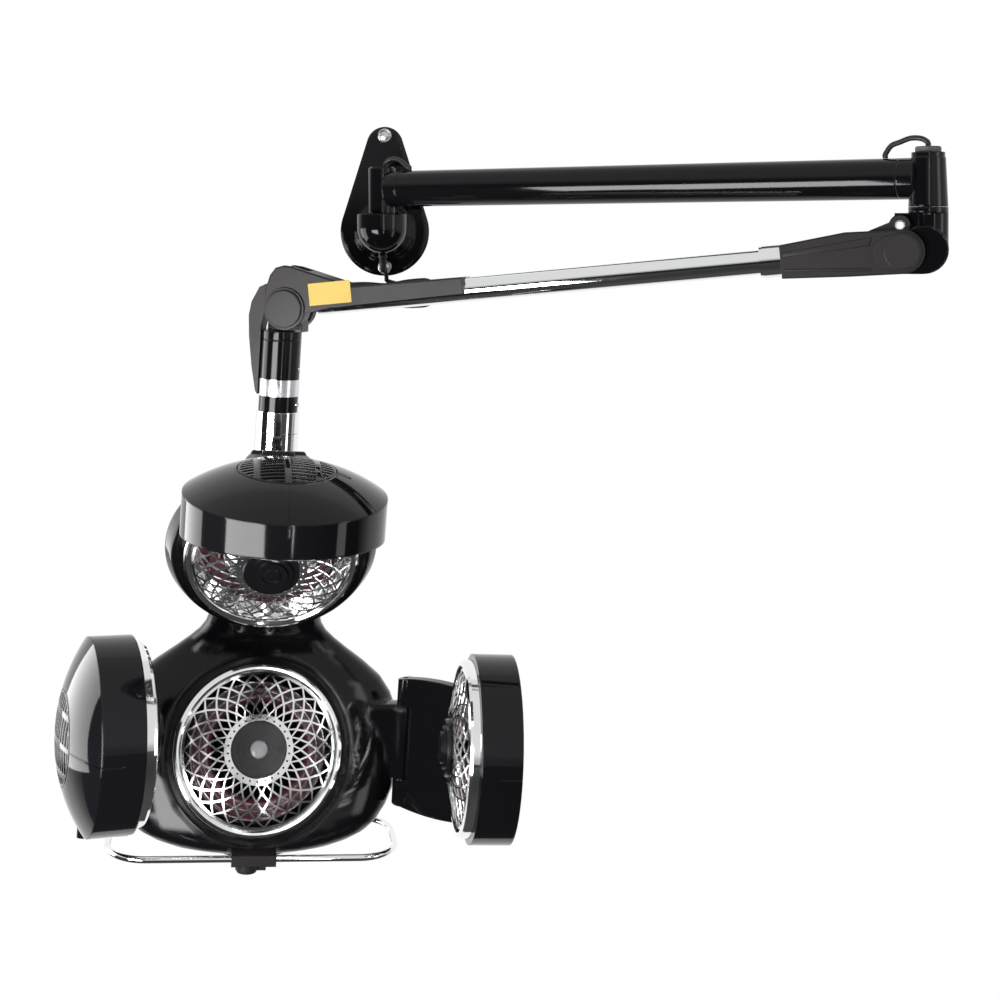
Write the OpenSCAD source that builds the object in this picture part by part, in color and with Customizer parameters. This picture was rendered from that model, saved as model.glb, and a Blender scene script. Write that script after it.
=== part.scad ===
// Wall-mounted five-head infrared hood dryer on a two-section swing arm.
// Millimetres. Origin: centre of the wall plate's back face.
// +X runs along the wall to the viewer's right, -Y into the room, +Z up.

/* [Wall plate] */
// Radius of the plate's round lower end
plate_r = 63.5; // [58:0.5:75]
// Radius of the plate's narrow upper end
plate_top_r = 26; // [20:0.5:32]
// Height of the plate
plate_h = 214; // [205:1:240]
// Thickness of the plate
plate_t = 8; // [6:0.5:12]
// Distance between the two wall bolt holes
bolt_pitch = 188; // [180:1:192]
// Radius of the wall bolt holes
bolt_r = 4.5; // [3:0.1:5.5]
// Distance of the swing axis from the wall
spindle_off = 60; // [54:1:75]
// Radius of the bearing bowl
bowl_r = 35; // [31:0.5:38]
// Depth of the bowl's straight part
bowl_wall_h = 20; // [14:1:28]
// Height of the bowl's top edge
bowl_top_z = -20; // [-24:1:-19]

/* [Upper arm] */
// Length of the upper arm between its two vertical axes
arm_len = 755; // [600:5:900]
// Angle of the upper arm out from the wall
arm_angle = 26.3; // [20:0.1:35]
// Outer radius of the upper arm tube
arm_r = 25; // [22:0.5:27]
// Wall of the upper arm tube
arm_wall = 2.5; // [1.5:0.1:5]
// Height of the upper arm's axis
arm_z = 15.4; // [12:0.2:18]
// Radius of the wall barrel
barrel_r = 19; // [17:0.5:21]
// Height of both barrels
barrel_h = 66; // [64:0.5:72]
// Top radius of the outer barrel
outer_top_r = 19.7; // [18:0.1:21]
// Bottom radius of the outer barrel
outer_foot_r = 23.3; // [22:0.1:26]
// Radius of the vertical spindles
spindle_r = 11; // [8:0.5:13]
// Height of the grey cap on the outer barrel
cap_h = 7; // [4:0.5:12]

/* [Shoulder] */
// Distance from the outer spindle to the lift pivot
pivot_off = 30; // [26:0.5:38]
// Height of the lift pivot
pivot_z = -72.3; // [-80:0.1:-68]
// Half thickness of the shoulder casting
shoulder_t = 18.5; // [17.5:0.1:20]
// Radius of the casting round the lift pivot
pivot_boss_r = 26.5; // [24:0.1:28]
// Radius of the lift pivot pin
pivot_pin_r = 8; // [6:0.5:10]
// Height of the balance spring's lug above the lift pivot
lug_rise = 31.7; // [30:0.1:34]
// Radius of the hollow lug pin
lug_pin_r = 6; // [5.2:0.1:7]

/* [Forearm] */
// Length of the forearm from lift pivot to elbow pin
fore_len = 790.6; // [700:1:900]
// Angle of the forearm out from the wall
fore_angle = 15.04; // [12:0.1:24]
// Drop angle of the forearm towards the elbow
fore_drop = 5.45; // [0:0.05:8]
// Outer radius of the chrome forearm tube
fore_r = 15.75; // [14:0.25:17]
// Wall of the forearm tube
fore_wall = 1.75; // [1:0.25:3]
// Height of the tube's axis above the line of pivots
tube_rise = 3; // [1:0.5:4]
// Radius of the chrome collar at the shoulder cover
collar_r = 20.3; // [19:0.1:22]
// Length of the chrome collar
collar_l = 26; // [18:1:40]
// Length of the shoulder cover from the lift pivot
cover_l = 143; // [135:1:170]
// Half width of the shoulder cover
cover_w = 24; // [23.5:0.1:28]
// Radius of the round pivot caps
pivot_cap_r = 22.6; // [18:0.1:25]
// Length of the elbow cover along the tube
elbow_cover_l = 245; // [200:1:270]
// Half width of the elbow cover
elbow_w = 21; // [20:0.1:24]
// Radius of the elbow pin
elbow_pin_r = 7; // [5:0.5:9]
// Half thickness of the elbow tongue
tongue_t = 12; // [9:0.1:12.3]

/* [Hanger] */
// Lean of the hanger as it stands in the pose shown
hood_lean = 3.5; // [0:0.1:5]
// Turn of the hood about the hanger
hood_turn = 25; // [0:0.5:40]
// Distance of the hanger's axis from the elbow pin
hanger_off = 10; // [4:0.5:14]
// Outer radius of the hanging tube
hanger_r = 26; // [24:0.5:27]
// Depth of the hanging tube's lower end below the elbow pin
hanger_foot_z = 165; // [150:1:190]
// Height of each chrome swivel collar
swivel_collar_h = 28; // [20:0.5:34]
// Outer radius of the chrome swivel collars
swivel_collar_r = 29; // [27.5:0.1:32]
// Radius of the swivel stem
stem_r = 20; // [15:0.5:22]

/* [Heads] */
// Outer radius of a wing head
head_r = 115; // [112:1:118]
// Height of a wing head's straight band
band_h = 50; // [44:1:60]
// Height of the top head's straight band
top_band_h = 48; // [42:1:54]
// Height of a wing head's dome above the band
dome_h = 35; // [26:1:40]
// Height of the right head's flat cone
right_dome_h = 7; // [5:1:14]
// Radius of the vent in a head's dome
vent_r = 56; // [45:1:66]
// Wall of a wing head's shell
shell_t = 3.5; // [2.5:0.1:5]
// Outer radius of a chrome bezel
bezel_r = 112; // [109:0.5:113]
// Distance that a bezel stands out from its rim
bezel_out = 15; // [10:0.5:18]
// Radius of a wire grille
grille_r = 102; // [98:0.5:103]
// Height of a wire grille's dome
grille_h = 18; // [12:0.5:24]
// Width of a grille's wires
wire_w = 1.7; // [1.2:0.1:2.4]
// Radius of the grille's opening round the hub
hub_r = 34; // [30:0.5:37]
// Spokes in a grille's lattice
spokes = 26; // [20:1:30]
// Rows of openings in a grille's lattice
lattice_rows = 5; // [3:1:6]
// Radius of the ring lamp's circle
lamp_ring_r = 70; // [62:0.5:78]
// Radius of the ring lamp's glass tube
lamp_r = 9; // [6:0.5:11]

/* [Wings] */
// Distance between a wing link's two hinges
link_len = 115; // [110:1:130]
// Distance from a head's centre to its hinge
reach = 127; // [126:0.5:131]
// Radius of the wing hinge pins
hinge_pin_r = 4; // [3:0.1:5]
// Radius of the wing hinge knuckles
knuckle_r = 10; // [8.5:0.1:11]
// Height of the left head's centre below the elbow pin
left_z = 504; // [498:1:520]
// Height of the right head's centre below the elbow pin
right_z = 532; // [512:1:536]
// Outward swing of the left link
left_swing = 9.2; // [5:0.1:20]
// Outward swing of the right link
right_swing = 51; // [42:0.1:56]
// Inward turn of the left head's face
left_turn = 12.7; // [8:0.1:16]
// Inward turn of the right head's face
right_turn = 2; // [-2:0.1:8]
// Tip of the top head past level
top_tip = 2; // [0:0.5:6]
// Downward slope of the top link
top_swing = 7; // [4:0.5:10]

/* [Body] */
// Radius of the dark rings round the body's two heads
ring_r = 123; // [121:0.5:126]
// Downward tilt of the upper body head
upper_tilt = 29; // [24:0.5:31]
// Upward tilt of the lower body head
lower_tilt = 20; // [17:0.5:23]
// Radius of the guard ring's chrome tube
guard_r = 4.5; // [3.5:0.25:5.5]
// Half width of the guard ring
guard_w = 190; // [180:1:200]

/* [Hidden] */
fit = 0.05;
gap = 0.3;
over = 1;

gloss_black = [0.03, 0.03, 0.035];
satin_black = [0.1, 0.1, 0.11];
steel = [0.62, 0.63, 0.65];
chrome = [0.85, 0.86, 0.88];
cap_grey = [0.4, 0.4, 0.42];
ruby = [0.35, 0.04, 0.05];

module ring(r_out, r_in, h) {
  difference() {
    cylinder(r = r_out, h = h, $fn = 96);
    translate([0, 0, -over]) cylinder(r = r_in, h = h + 2*over, $fn = 96);
  }
}

// Two circles joined by their outer tangents; the second one lies at +Y.
module teardrop(r1, r2, d) {
  lean = asin((r1 - r2)/d);
  circle(r = r1, $fn = 128);
  translate([0, d]) circle(r = r2, $fn = 96);
  polygon([[r1*cos(lean), r1*sin(lean)], [r2*cos(lean), d + r2*sin(lean)],
    [-r2*cos(lean), d + r2*sin(lean)], [-r1*cos(lean), r1*sin(lean)]]);
}

// Solid tube swept along a list of points, each ring square to the route.
function unit(v) = v/norm(v);
function tangent(p, i) = unit(p[min(i + 1, len(p) - 1)] - p[max(i - 1, 0)]);
function side_of(t, up) = unit(cross(t, up));
function sweep_points(p, r, sides, up) = [for (i = [0:len(p) - 1])
  let (t = tangent(p, i), s = side_of(t, up), u = cross(s, t))
  for (k = [0:sides - 1]) p[i] + r*(cos(360*k/sides)*s + sin(360*k/sides)*u)];
function sweep_faces(n, sides) = concat(
  [for (i = [0:n - 2]) for (k = [0:sides - 1]) let (a = i*sides + k, b = i*sides + (k + 1)%sides)
    each [[a, b, b + sides], [a, b + sides, a + sides]]],
  [[for (k = [sides - 1:-1:0]) k]], [[for (k = [0:sides - 1]) (n - 1)*sides + k]]);
module sweep(p, r, sides = 8, up = [0, 1, 0]) {
  polyhedron(points = sweep_points(p, r, sides, up), faces = sweep_faces(len(p), sides),
    convexity = 8);
}

// Frames: each carries its children to where that section of the machine starts.
module at_arm() { translate([0, -spindle_off, 0]) rotate(-arm_angle) children(); }
module at_outer_spindle() {
  at_arm() translate([arm_len, 0, 0]) rotate(180 + arm_angle - fore_angle) children();
}
module at_forearm() {
  at_outer_spindle() translate([pivot_off, 0, pivot_z]) rotate([0, fore_drop, 0]) children();
}
module at_elbow() {
  at_forearm() translate([fore_len, 0, 0]) rotate([0, -fore_drop, 0]) children();
}
module at_hanger() {
  at_elbow() rotate([0, -hood_lean, 0]) translate([hanger_off, 0, 0]) rotate(180) children();
}
module at_hood() { at_hanger() rotate(hood_turn) children(); }

// Wall side

plate_low_z = -plate_h/2 + plate_r;
plate_span = plate_h - plate_r - plate_top_r;
bevel = 2;
boss_r = 41;
boss_front = 30;
boss_step = 8;
bolt_head_r = 11;
bowl_mid_z = bowl_top_z - bowl_wall_h;
bowl_foot_z = bowl_mid_z - bowl_r;
spindle_foot_z = bowl_mid_z - 10;
bowl_neck_r = 28;
gland_lean = 19.5;
gland_r = 6.5;
gland_h = 3;
socket_end = 13;

module wall_plate() {
  color(gloss_black) difference() {
    translate([0, 0, plate_low_z]) rotate([90, 0, 0]) {
      linear_extrude(plate_t - bevel) teardrop(plate_r, plate_top_r, plate_span);
      linear_extrude(plate_t) teardrop(plate_r - bevel, plate_top_r - bevel, plate_span);
      cylinder(r = boss_r, h = boss_front - boss_step, $fn = 96);
      cylinder(r = boss_r - boss_step + bevel, h = boss_front, $fn = 96);
    }
    for (z = [-bolt_pitch/2, bolt_pitch/2])
      translate([0, over, z]) rotate([90, 0, 0]) cylinder(r = bolt_r, h = plate_t + 2*over, $fn = 48);
    translate([0, -plate_t, -bolt_pitch/2]) rotate([90, 0, 0])
      cylinder(r = bolt_head_r, h = boss_front, $fn = 48);
  }
}

module bearing_bowl() {
  color(gloss_black) difference() {
    union() {
      translate([0, -spindle_off, bowl_mid_z]) {
        cylinder(r = bowl_r, h = bowl_wall_h, $fn = 96);
        sphere(r = bowl_r, $fn = 96);
        rotate([180 + gland_lean, 0, 0]) cylinder(r = gland_r, h = bowl_r + gland_h, $fn = 48);
      }
      translate([0, -boss_front, plate_low_z])
        rotate([90, 0, 0]) cylinder(r = bowl_neck_r, h = spindle_off - boss_front, $fn = 96);
    }
    translate([0, -spindle_off, bowl_top_z]) cylinder(r = bowl_r + over, h = bowl_r, $fn = 96);
    translate([-bowl_r - over, -boss_front, bowl_foot_z - over])
      cube([2*bowl_r + 2*over, boss_front, 2*bowl_r + bowl_wall_h]);
    translate([0, -spindle_off, spindle_foot_z])
      cylinder(r = spindle_r + fit, h = bowl_top_z - spindle_foot_z + over, $fn = 64);
  }
}

module wall_spindle() {
  color(steel) translate([0, -spindle_off, spindle_foot_z])
    cylinder(r = spindle_r, h = socket_top_z - gap - spindle_foot_z, $fn = 64);
}

// The mains lead leaves the bowl's foot, crosses the lower bolt and runs into a tied hank
// behind the forearm; the hank's four loops lie in four layers off the wall.
cord_r = 3;
lead_out = [0, sin(gland_lean), -cos(gland_lean)];
lead_exit = [0, -spindle_off, bowl_mid_z] + (bowl_r + gland_h + gap)*lead_out;
lead_route = [lead_exit, lead_exit + 5*lead_out, [1, -39, -88], [2, -31.5, -96], [3, -25, -103.5],
  [3.5, -19.5, -109.5], [4, -15.5, -113.8], [4, -13.5, -117.4]];
hank_half = 52;
hank_fold_r = 18;
hank_x = 4;
hank_z = -135;
hank_y = -13.5;
hank_step = 7;
hank_loops = 4;
hank_rings = 24;
waist = 0.22;
function fold_point(s) = let (run = 2*hank_half, bend = PI*hank_fold_r, lap = 2*run + 2*bend, t = s*lap)
  t < run/2 ? [t, hank_fold_r]
  : t < run/2 + bend ? let (a = 90 - 180*(t - run/2)/bend) [hank_half + hank_fold_r*cos(a), hank_fold_r*sin(a)]
  : t < 1.5*run + bend ? [hank_half - (t - run/2 - bend), -hank_fold_r]
  : t < 1.5*run + 2*bend ? let (a = -90 - 180*(t - 1.5*run - bend)/bend)
      [-hank_half + hank_fold_r*cos(a), hank_fold_r*sin(a)]
  : [-hank_half + (t - 1.5*run - 2*bend), hank_fold_r];
function hank_point(i) = let (s = i/hank_rings, p = fold_point(s - floor(s)),
    lap = floor(s), climb = max(0, min(1, (s - lap - 0.62)/0.3)),
    pull = 1 - waist*exp(-p[0]*p[0]/500))
  [hank_x + p[0], hank_y - hank_step*(lap + climb), hank_z + p[1]*pull];
hank_tail = [[-74, -39, -128], [-81, -35, -128], [-88, -31, -129], [-95, -28, -130],
  [-100.6, -28, -130]];
hank_last = hank_rings*hank_loops - 7;
hank_route = concat([for (i = [0:hank_last]) hank_point(i)], hank_tail);

echo(hank_gap = min([for (i = [0:hank_rings*hank_loops - 4]) for (j = [i + 5:hank_rings*hank_loops - 3])
  norm(hank_point(i) - hank_point(j))]) - 2*cord_r);

module mains_lead() { color(satin_black) sweep(lead_route, cord_r, 8, [0, 1, 1]); }
module mains_hank() { color(satin_black) sweep(hank_route, cord_r, 6, [0, 1, 0]); }

plug_x = -101;
module mains_plug() {
  color(satin_black) translate([plug_x, -28, -130]) rotate([0, -90, 0]) {
    cylinder(r1 = 4.5, r2 = 6.5, h = 24, $fn = 48);
    translate([0, 0, 24]) intersection() {
      linear_extrude(26) square([38, 36], center = true);
      cylinder(r1 = 12, r2 = 46, h = 26, $fn = 64);
      cylinder(r = 23, h = 26, $fn = 64);
    }
    for (s = [-1, 1]) translate([s*9.5, 0, 49]) cylinder(r = 2.4, h = 19, $fn = 32);
  }
}

// Upper arm

barrel_foot_z = bowl_top_z + 0.4;
barrel_top_z = barrel_foot_z + barrel_h;
socket_top_z = barrel_top_z - socket_end;
outer_foot_z = barrel_foot_z + 1;
socket_l = 34;
neck_in = 14;

module socket_cut(r) {
  translate([0, 0, barrel_foot_z - over]) cylinder(r = r, h = barrel_h - socket_end + over, $fn = 64);
}
module arm_socket(from, to) {
  translate([from, 0, arm_z]) rotate([0, 90, 0]) {
    cylinder(r = arm_r, h = to - from, $fn = 96);
    translate([0, 0, to - from]) cylinder(r = arm_r - arm_wall - fit, h = 20, $fn = 96);
  }
}
module wall_barrel() {
  color(gloss_black) at_arm() difference() {
    union() {
      translate([0, 0, barrel_foot_z]) cylinder(r = barrel_r, h = barrel_h - 2, $fn = 96);
      translate([0, 0, barrel_foot_z]) cylinder(r = barrel_r - 2, h = barrel_h, $fn = 96);
      arm_socket(neck_in, socket_l);
    }
    socket_cut(spindle_r + fit);
  }
}
module arm_tube() {
  color(gloss_black) at_arm() translate([socket_l, 0, arm_z]) rotate([0, 90, 0])
    ring(arm_r, arm_r - arm_wall, arm_len - 2*socket_l);
}
module outer_barrel() {
  color(gloss_black) at_arm() translate([arm_len, 0, 0]) difference() {
    union() {
      translate([0, 0, outer_foot_z]) rotate_extrude($fn = 96)
        polygon([[0, 0], [outer_foot_r, 0], [outer_top_r + 0.9, barrel_h - 7.5],
          [outer_top_r, barrel_h - 6.5], [outer_top_r, barrel_h - 1], [0, barrel_h - 1]]);
      rotate(180) arm_socket(neck_in, socket_l);
    }
    socket_cut(spindle_r + fit);
  }
}
module barrel_cap() {
  color(cap_grey) at_arm() translate([arm_len, 0, outer_foot_z + barrel_h - 1]) {
    cylinder(r = outer_top_r - 4.4, h = cap_h - 1, $fn = 64);
    cylinder(r = outer_top_r - 5.4, h = cap_h, $fn = 64);
  }
}

loop_r = 3.3;
cap_top_z = outer_foot_z + barrel_h - 1 + cap_h;
function smooth_point(p, s) = let (n = len(p) - 1, i = min(floor(s), n - 1), t = s - i,
    a = p[max(i - 1, 0)], b = p[i], c = p[i + 1], d = p[min(i + 2, n)])
  b + 0.5*t*((c - a) + t*((2*a - 5*b + 4*c - d) + t*(3*(b - c) + d - a)));
function smooth(p, k) = [for (i = [0:k*(len(p) - 1)]) smooth_point(p, i/k)];
wall_loop = [[6, 0, barrel_top_z + gap], [6, 0, barrel_top_z + 2], [6, 0, barrel_top_z + 5], [11, 0, barrel_top_z + 9.5],
  [19, 0, barrel_top_z + 11], [28, 0, barrel_top_z + 9], [36, 0, barrel_top_z + 3],
  [42, 0, barrel_top_z - 2], [44, 0, arm_z + arm_r + 5], [44, 0, arm_z + arm_r + 2.5],
  [44, 0, arm_z + arm_r + gap]];
outer_loop = [[arm_len - 51, 0, arm_z + arm_r + gap], [arm_len - 51, 0, arm_z + arm_r + 2],
  [arm_len - 51, 0, arm_z + arm_r + 5],
  [arm_len - 44, 0, arm_z + arm_r + 15], [arm_len - 34, 0, cap_top_z + 6], [arm_len - 21, 0, cap_top_z + 10.5],
  [arm_len - 9, 0, cap_top_z + 10], [arm_len - 2, 0, cap_top_z + 6.5],
  [arm_len, 0, cap_top_z + 3.4], [arm_len, 0, cap_top_z + 1.8], [arm_len, 0, cap_top_z + gap]];
module arm_cables() {
  color(satin_black) at_arm() {
    sweep(smooth(wall_loop, 3), loop_r, 12);
    sweep(smooth(outer_loop, 3), loop_r, 12);
  }
}

// Shoulder: a cranked casting that turns under the outer barrel and carries the forearm

flange_z = outer_foot_z - 0.4;
flange_h = 7;
neck_r = 17;
neck_x = -6.5;
lug_t = 6;
lug_off = 2.6;
spindle_seat = 20;
lug_boss_r = 13;

module cross_cylinder(r, half) { rotate([90, 0, 0]) cylinder(r = r, h = 2*half, center = true, $fn = 96); }

clevis_t = 5;
clevis_r = 12;
clevis_x = 18;
clevis_l = 20;
lug_pin_half = lug_t + gap + clevis_t + gap;

// The slot that the clevis needs as it rocks on the lug
module sweep_sector() {
  intersection() {
    circle(r = clevis_x + clevis_l + 1, $fn = 96);
    polygon([[0, 0], [58, 24], [75, -20], [22, -55]]);
  }
}
module clevis_sweep() {
  for (s = [-1, 1]) translate([0, s*(lug_t + gap + clevis_t/2), 0]) rotate([90, 0, 0])
    linear_extrude(clevis_t + 2*gap + 2*fit, center = true) {
      circle(r = clevis_r + 2*gap, $fn = 96);
      sweep_sector();
    }
  rotate([90, 0, 0]) linear_extrude(2*lug_t + gap, center = true) difference() {
    sweep_sector();
    circle(r = clevis_x - 1.4, $fn = 96);
  }
}

module shoulder_housing() {
  color(satin_black) at_outer_spindle() difference() {
    union() {
      translate([0, 0, flange_z - flange_h]) cylinder(r = outer_foot_r, h = flange_h, $fn = 96);
      translate([neck_x, 0, pivot_z]) cylinder(r = neck_r, h = flange_z - pivot_z - over, $fn = 96);
      translate([5, 0, pivot_z + 2.3]) cross_cylinder(28.6, shoulder_t);
      translate([pivot_off, 0, pivot_z]) cross_cylinder(pivot_boss_r, shoulder_t);
      translate([5, -shoulder_t, pivot_z - pivot_boss_r])
        cube([pivot_off - 5, 2*shoulder_t, 2*pivot_boss_r - 4]);
      translate([0, -lug_t, pivot_z + 15])
        cube([pivot_off + 9, 2*lug_t, flange_z - flange_h - pivot_z - 15]);
      translate([pivot_off + lug_off, 0, pivot_z + lug_rise]) cross_cylinder(lug_boss_r, lug_t);
    }
    translate([pivot_off + lug_off, 0, pivot_z + lug_rise]) {
      cross_cylinder(lug_pin_r + fit, lug_t + over);
      clevis_sweep();
    }
    translate([pivot_off, 0, pivot_z]) cross_cylinder(pivot_pin_r + fit, shoulder_t + over);
    translate([0, 0, pivot_z + spindle_seat])
      cylinder(r = spindle_r + fit, h = flange_z - pivot_z, $fn = 64);
  }
}
module shoulder_pins() {
  color(steel) at_outer_spindle() {
    translate([0, 0, pivot_z + spindle_seat])
      cylinder(r = spindle_r, h = socket_top_z - gap - pivot_z - spindle_seat, $fn = 64);
    translate([pivot_off, 0, pivot_z]) cross_cylinder(pivot_pin_r, cover_w - gap);
    translate([pivot_off + lug_off, 0, pivot_z + lug_rise]) difference() {
      cross_cylinder(lug_pin_r, lug_pin_half);
      cross_cylinder(lug_pin_r - 1.6, lug_pin_half + over);
    }
  }
}

// Forearm

cheek_gap = shoulder_t + 0.5;
block_x = cover_l - 43;
module cover_profile(s) {
  circle(r = pivot_boss_r - s, $fn = 96);
  polygon([[0, pivot_boss_r - s], [15, 27 - s], [64, 29.5 - s], [cover_l, collar_r + 1.2 - s],
    [cover_l, 1 - collar_r + s], [64, s - 24], [0, s - pivot_boss_r]]);
}
module shoulder_cover() {
  color(satin_black) at_forearm() difference() {
    union() {
      rotate([90, 0, 0]) linear_extrude(2*cover_w, center = true) cover_profile(1.5);
      rotate([90, 0, 0]) linear_extrude(2*cover_w - 3, center = true) cover_profile(0);
    }
    translate([-pivot_boss_r - over, -cheek_gap, -40]) cube([block_x + pivot_boss_r + over, 2*cheek_gap, 80]);
    cross_cylinder(pivot_pin_r + fit, cover_w + over);
    translate([block_x - over, 0, tube_rise]) rotate([0, 90, 0])
      cylinder(r = fore_r + fit, h = cover_l - block_x + 2*over, $fn = 96);
  }
}

module pivot_caps() {
  color(satin_black) at_forearm() for (s = [-1, 1]) {
    translate([0, s*cover_w, 0]) rotate([-90*s, 0, 0]) {
      cylinder(r = pivot_cap_r, h = 4, $fn = 96);
      linear_extrude(4) polygon([[3, pivot_cap_r - 0.4], [22, pivot_cap_r - 4], [33, 9], [33, -9],
        [22, 4 - pivot_cap_r], [3, 0.4 - pivot_cap_r]]);
      translate([0, 0, 3]) cylinder(r = pivot_cap_r - 2, h = 2, $fn = 96);
    }
    translate([fore_len, s*elbow_w, 0]) rotate([-90*s, 0, 0]) {
      cylinder(r = 25, h = 4.5, $fn = 96);
      cylinder(r = 24, h = 5.5, $fn = 96);
      cylinder(r = 28, h = 2.5, $fn = 96);
    }
  }
}
module forearm_collar() {
  color(chrome) at_forearm() translate([cover_l, 0, tube_rise]) rotate([0, 90, 0]) {
    ring(collar_r - 0.7, fore_r + fit, collar_l);
    translate([0, 0, 1.5]) ring(collar_r, fore_r + fit, collar_l - 5);
  }
}
tube_end = fore_len - 42;
module forearm_tube() {
  color(chrome) at_forearm() translate([block_x, 0, tube_rise]) rotate([0, 90, 0])
    ring(fore_r, fore_r - fore_wall, tube_end - block_x);
}
spring_r = fore_r - fore_wall - 2.5;
module balance_spring() {
  color(steel) at_forearm() translate([block_x + 4, 0, tube_rise]) rotate([0, 90, 0]) {
    translate([0, 0, -3]) cylinder(r = fore_r - fore_wall - gap, h = 12, $fn = 64);
    for (i = [0:11]) translate([0, 0, 9 + 16*i]) {
      cylinder(r = spring_r - 1.5, h = 16, $fn = 48);
      cylinder(r = spring_r, h = 9, $fn = 48);
    }
  }
}

// The clevis straddles the lug; its rod runs down into the cover towards the spring.
rod_slope = 22.8;
rod_len = 76;
module at_lug() {
  at_outer_spindle() translate([pivot_off + lug_off, 0, pivot_z + lug_rise])
    rotate([0, rod_slope, 0]) children();
}
module rod_clevis() {
  color(satin_black) at_lug() {
    for (s = [-1, 1]) translate([0, s*(lug_t + gap + clevis_t/2), 0]) difference() {
      union() {
        cross_cylinder(clevis_r, clevis_t/2);
        translate([0, -clevis_t/2, -6]) cube([clevis_x, clevis_t, 14]);
      }
      cross_cylinder(lug_pin_r + fit, clevis_t);
    }
    translate([clevis_x - over, -lug_t - gap - clevis_t, -6]) cube([clevis_l, 2*(lug_t + gap + clevis_t), 14]);
  }
}
module tension_rod() {
  color(chrome) at_lug() translate([clevis_x + clevis_l - over, 0, 0]) rotate([0, 90, 0])
    cylinder(r = 2.6, h = rod_len - clevis_x - clevis_l + over, $fn = 48);
}

// Elbow: x runs from the elbow pin back towards the shoulder here
module elbow_frame() { at_forearm() translate([fore_len, 0, 0]) rotate([0, 0, 180]) children(); }
module elbow_profile(s) {
  circle(r = 28 - s, $fn = 96);
  polygon([[s - 28, 0], [s - 27, 24], [s - 17, 46 - s], [-8, 55 - s], [4, 57 - s], [16, 54 - s],
    [96, fore_r + tube_rise + 2.5 - s], [elbow_cover_l, fore_r + tube_rise + 1 - s],
    [elbow_cover_l, -1.7], [60, -4], [30, -8]]);
}
module elbow_cover() {
  color(satin_black) elbow_frame() difference() {
    union() {
      rotate([90, 0, 0]) linear_extrude(2*elbow_w, center = true) elbow_profile(1.6);
      rotate([90, 0, 0]) linear_extrude(2*elbow_w - 3.2, center = true) elbow_profile(0);
    }
    translate([-40, -tongue_t - gap, -40]) cube([74, 2*(tongue_t + gap), 110]);
    cross_cylinder(elbow_pin_r + fit, elbow_w + over);
    translate([30, 0, tube_rise]) rotate([0, 90, 0])
      cylinder(r = fore_r + fit, h = elbow_cover_l, $fn = 96);
    translate([34, -fore_r - fit, -30]) cube([elbow_cover_l, 2*(fore_r + fit), 30 + tube_rise]);
  }
}
module elbow_pin() {
  color(steel) at_forearm() translate([fore_len, 0, 0]) cross_cylinder(elbow_pin_r, elbow_w);
}

// Hanger: x to the viewer's right, y to the back, z up along the swivel axis
tongue_r = 26;
head_foot = -30;
module elbow_head() {
  color(gloss_black) at_hanger() difference() {
    union() {
      translate([hanger_off, 0, 0]) cross_cylinder(tongue_r, tongue_t);
      translate([hanger_off - tongue_r, -tongue_t, head_foot]) cube([2*tongue_r - 4, 2*tongue_t, -head_foot]);
      translate([0, 0, head_foot - 12]) cylinder(r = hanger_r, h = 12, $fn = 96);
      translate([0, 0, head_foot - 30]) cylinder(r = stem_r - 2, h = 30, $fn = 96);
    }
    translate([hanger_off, 0, 0]) cross_cylinder(elbow_pin_r + fit, tongue_t + over);
  }
}
module hanger_tube() {
  color(gloss_black) at_hanger() translate([0, 0, -hanger_foot_z]) difference() {
    cylinder(r = hanger_r, h = hanger_foot_z + head_foot - 12, $fn = 96);
    translate([0, 0, -over]) cylinder(r = stem_r + fit, h = hanger_foot_z, $fn = 96);
  }
}
module upper_collar() {
  color(chrome) at_hanger() translate([0, 0, -hanger_foot_z]) {
    ring(swivel_collar_r - 0.8, hanger_r + fit, swivel_collar_h);
    translate([0, 0, 0.8]) ring(swivel_collar_r, hanger_r + fit, swivel_collar_h - 1.6);
  }
}
// Leaf-shaped cover over the cable, on the hanger's outer side
module cable_cover() {
  color(satin_black) at_hanger() intersection() {
    rotate([90, 0, 0]) linear_extrude(20, center = true)
      polygon([[hanger_off - tongue_r - gap, 24], [-24, 30], [-32, 26], [-42, 6], [-45, -12], [-43, -40],
        [-37, -80], [-30, -112], [-27, -116], [-hanger_r - gap, -116], [-hanger_r - gap, -34],
        [hanger_off - tongue_r - gap - 11, -28]]);
    translate([-36, 0, -130]) cylinder(r = 20, h = 180, $fn = 64);
  }
}

// Hood stem and lower collar turn together below the upper collar
body_top_z = -232;
collar_top_z = -hanger_foot_z - 0.5;
module hood_stem() {
  color(chrome) at_hood() {
    translate([0, 0, body_top_z + 6]) cylinder(r = stem_r, h = head_foot - 42 - body_top_z, $fn = 96);
    translate([0, 0, body_top_z]) cylinder(r = stem_r + 7, h = 6, $fn = 96);
  }
}
module lower_collar() {
  color(chrome) at_hood() translate([0, 0, collar_top_z - swivel_collar_h]) difference() {
    union() {
      translate([0, 0, 7]) cylinder(r = swivel_collar_r, h = swivel_collar_h - 7, $fn = 96);
      rotate_extrude($fn = 96) {
        translate([swivel_collar_r - 7, 7]) circle(r = 7, $fn = 64);
        square([swivel_collar_r - 7, 7 + over]);
      }
    }
    translate([0, 0, -over]) cylinder(r = stem_r + fit, h = swivel_collar_h + 2*over, $fn = 96);
  }
}

// Head parts. Head frame: rim plane at z = 0, face towards -z, hinge towards +y.
core_r = 120;
wing_k = head_r/core_r;
lip_t = 4;
lip_gap = 0.5;
bar_w = 7;
louvre = 8.5;
seam = 0.8;
top_inset = 11;
top_tilt = 5;
function ball_r(half, rise) = (half*half + rise*rise)/(2*rise);
flat_below = 20;
function vent_drop(dome) = dome < flat_below ? 0
  : let (ball = ball_r(head_r, dome)) ball - sqrt(ball*ball - vent_r*vent_r);

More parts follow.
